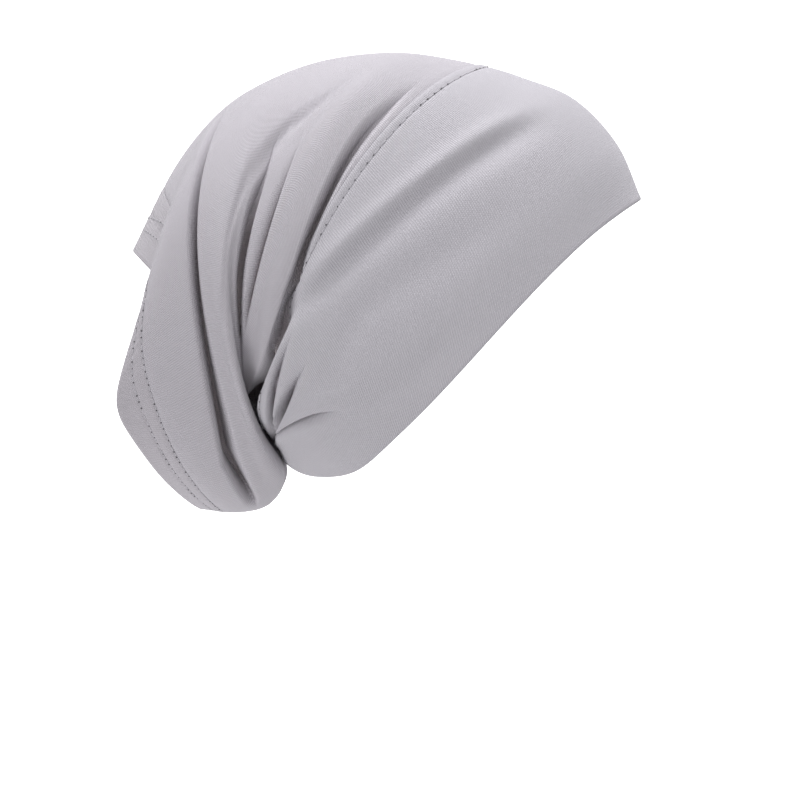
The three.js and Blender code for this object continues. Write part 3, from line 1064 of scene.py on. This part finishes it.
@dataclass(frozen=True)
class StudioFinish:
    """Plain pale studio paint.

    Attributes:
        name: the material's name.
        colour: its colour.
        glow: how brightly it glows by itself.
    """

    name: str
    colour: Colour
    glow: float = 0.0

    def material(self) -> bpy.types.Material:
        """Builds the paint."""
        return NodeBook(self.name).finished(
            {
                "Base Color": (*self.colour, 1.0),
                "Roughness": 0.95,
                "Emission Color": (1.0, 1.0, 1.0, 1.0),
                "Emission Strength": self.glow,
            }
        )


@dataclass
class Studio:
    """The pale floor, the soft lights and the camera.

    Attributes:
        floor_drop: height of the floor, in metres.
        backdrop: how far behind the cap the white panel stands.
        distance: from the camera to the cap.
        frame_width: width of the picture at the cap.
        centre: the point in the middle of the picture.
        azimuth: camera direction round the cap, in degrees.
        elevation: camera height above the level, in degrees.
    """

    floor_drop: float = -0.9
    backdrop: float = 3.0
    distance: float = 2.5
    frame_width: float = 0.368
    centre: tuple[float, float, float] = (0.0, 0.0, -0.1575)
    azimuth: float = -90.0
    elevation: float = 0.0

    SKY = 0.66
    SENSOR = 36.0
    FLOOR_SIDES, FLOOR_RADIUS = 96, 14.0
    PANEL_SIZE = 1.6
    # name, place, side, power
    LIGHTS = (
        ("key_light", (-0.05, 0.1, 1.6), 0.9, 34.0),
        ("front_light", (-0.2, -0.5, 1.5), 0.9, 13.0),
        ("side_light", (-1.7, 1.45, -0.1), 1.2, 18.0),
    )

    @staticmethod
    def _paint(name: str, finish: StudioFinish) -> None:
        """Names, settles and paints the panel that was just added."""
        panel = bpy.context.object
        panel.name = name
        bpy.ops.object.transform_apply(location=True, rotation=True, scale=True)
        panel.data.materials.append(finish.material())

    def lay_floor(self) -> None:
        """Lays a wide pale floor under the cap."""
        bpy.ops.object.select_all(action="DESELECT")
        bpy.ops.mesh.primitive_circle_add(
            vertices=self.FLOOR_SIDES, radius=self.FLOOR_RADIUS, fill_type="NGON",
            location=(0, 0, self.floor_drop),
        )
        self._paint("studio_floor", StudioFinish("pale_floor", (0.85, 0.85, 0.85)))

    def stand_backdrop(self) -> None:
        """Stands a small white panel behind the cap, out to the picture's edges."""
        bpy.ops.object.select_all(action="DESELECT")
        bpy.ops.mesh.primitive_plane_add(
            size=self.PANEL_SIZE, rotation=(0, -math.pi / 2, 0),
            location=(self.backdrop, 0, self.centre[2]),
        )
        self._paint("studio_backdrop", StudioFinish("white_panel", (0.9, 0.9, 0.9), 1.0))

    def light(self, name: str, place: tuple[float, ...], size: float, power: float) -> None:
        """Hangs a square soft light that faces the cap.

        Args:
            name: the light's name.
            place: where it hangs, in metres.
            size: its side.
            power: its power in watts.
        """
        data = bpy.data.lights.new(name, "AREA")
        data.shape, data.size, data.energy = "SQUARE", size, power
        lamp = bpy.data.objects.new(name, data)
        bpy.context.scene.collection.objects.link(lamp)
        lamp.location = place
        lamp.rotation_mode = "QUATERNION"
        lamp.rotation_quaternion = (Vector(place) - Vector(self.centre)).to_track_quat("Z", "Y")

    def fill_sky(self, strength: float) -> None:
        """Fills the room with even white light."""
        world = bpy.data.worlds.new("studio_white")
        bpy.context.scene.world = world
        world.use_nodes = True
        ground = world.node_tree.nodes["Background"]
        ground.inputs["Color"].default_value = (1.0, 1.0, 1.0, 1.0)
        ground.inputs["Strength"].default_value = strength

    def set_camera(self) -> None:
        """Sets the camera at the picture's viewing angle."""
        a, e = math.radians(self.azimuth), math.radians(self.elevation)
        back = Vector((math.sin(a) * math.cos(e), -math.cos(a) * math.cos(e), math.sin(e)))
        data = bpy.data.cameras.new("camera")
        data.sensor_width = self.SENSOR
        data.lens = self.SENSOR * self.distance / self.frame_width
        camera = bpy.data.objects.new("camera", data)
        bpy.context.scene.collection.objects.link(camera)
        camera.location = Vector(self.centre) + back * self.distance
        camera.rotation_mode = "QUATERNION"
        camera.rotation_quaternion = (-back).to_track_quat("-Z", "Y")
        bpy.context.scene.camera = camera

    def build(self) -> None:
        """Builds the whole studio."""
        self.lay_floor()
        self.stand_backdrop()
        self.fill_sky(self.SKY)
        for row in self.LIGHTS:
            self.light(*row)
        self.set_camera()
        bpy.context.scene.view_settings.view_transform = "Standard"


@dataclass
class UnderscarfCap:
    """The whole cap: four sewn pieces of jersey and their stitches."""

    sizes: CapSizes

    # the second colour on this line is painted shade for the deep folds, with a painted warm
    # reflection in it, not the cloth's own colour
    FACE, DEEP = (0.43, 0.415, 0.45), (0.30, 0.255, 0.265)
    # the band's own jersey, painted a little darker on the tube and darker still on the hem:
    # painted shade on the hanging back
    TUBE_FACE, HEM_FACE = (0.425, 0.405, 0.44), (0.41, 0.388, 0.42)
    SEAM_SHADE = 0.97
    # the near-black colour on this line is painted shade inside the needle holes
    THREAD, NEEDLE_HOLE = (0.40, 0.385, 0.42), (0.06, 0.055, 0.065)
    BAND_FLAT, TUBE_FLAT, HEM_FLAT = (0.50, 0.098), (0.54, 0.122), (0.50, 0.017)

    def pieces(self, cloth: ClothRows) -> list[ClothPiece]:
        """Lists the sewn pieces from the face edge to the hem."""
        z, row = self.sizes, cloth.starts
        last = len(cloth.at) - 1
        sewn, turned = Edge.SEWN, Edge.TURNED
        return [
            ClothPiece("band_cloth", "face_band", "band_jersey", (0, row["strip"]),
                       z.doubled_band, 0.0, (turned, sewn), Held.STRETCHED, self.BAND_FLAT),
            ClothPiece("seam_cloth", "seam_strip", "seam_jersey", (row["strip"], row["tube"]),
                       z.seam_plies, z.seam_proud, (sewn, sewn), Held.STRETCHED, None),
            ClothPiece("tube_cloth", "back_tube", "tube_jersey", (row["tube"], row["hem"]),
                       z.jersey, 0.0, (sewn, sewn), Held.DRAPED, self.TUBE_FLAT, True),
            ClothPiece("hem_cloth", "back_hem", "hem_jersey", (row["hem"], last),
                       z.hem_plies, z.hem_proud, (sewn, turned), Held.DRAPED, self.HEM_FLAT),
        ]

    def stitches(self) -> list[StitchRow]:
        """Lists the rows of stitches."""
        z = self.sizes
        return [
            StitchRow("seam_topstitch", SEAM_STITCH * z.tube, "seam_jersey", z.seam_pitch),
            StitchRow("hem_stitch_inner", HEM_STITCH_INNER * z.tube, "hem_jersey", z.hem_pitch,
                      crown_rise=z.inner_rise),
            StitchRow("hem_stitch_outer", z.tube - z.hem_stitch, "hem_jersey", z.hem_pitch,
                      phase=0.5, crown_rise=z.outer_rise),
        ]

    def build(self) -> None:
        """Builds and dresses every piece."""
        form = ClothForm(self.sizes)
        cloth = ClothTable(form).lay_out()
        log.info("laid out %d rows", len(cloth.at))
        seam_face = tuple(self.SEAM_SHADE * part for part in self.FACE)
        finishes = [
            JerseyFinish("band_knit", self.FACE, self.DEEP),
            JerseyFinish("seam_knit", seam_face, self.DEEP),
            JerseyFinish("tube_knit", self.TUBE_FACE, self.DEEP),
            JerseyFinish("hem_knit", self.HEM_FACE, self.DEEP),
        ]
        thread = ThreadFinish("grey_thread", self.THREAD).material()
        # a near-black thread finish for the hole domes: painted shade in the needle holes
        hole = ThreadFinish("needle_hole", self.NEEDLE_HOLE).material()
        made: dict[str, bpy.types.Object] = {}
        pieces = self.pieces(cloth)
        for piece, finish in zip(pieces, finishes):
            made[piece.name] = piece.build(cloth, self.sizes.sewn_gap)
            piece.dress(made[piece.name], finish.material())
        for row in self.stitches():
            made[row.name] = row.build(form)
            row.dress(made[row.name], thread, hole)
        for piece in pieces:
            piece.declare(made[piece.name], [made[name] for name in SEWN_ON.get(piece.name, ())])


def main() -> None:
    """Builds the cap and its studio, and notes the sizes before and after."""
    logging.basicConfig(level=logging.INFO, format="%(name)s: %(message)s")
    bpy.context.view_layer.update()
    Studio().build()
    UnderscarfCap(CapSizes()).build()


if __name__ == "__main__":
    main()
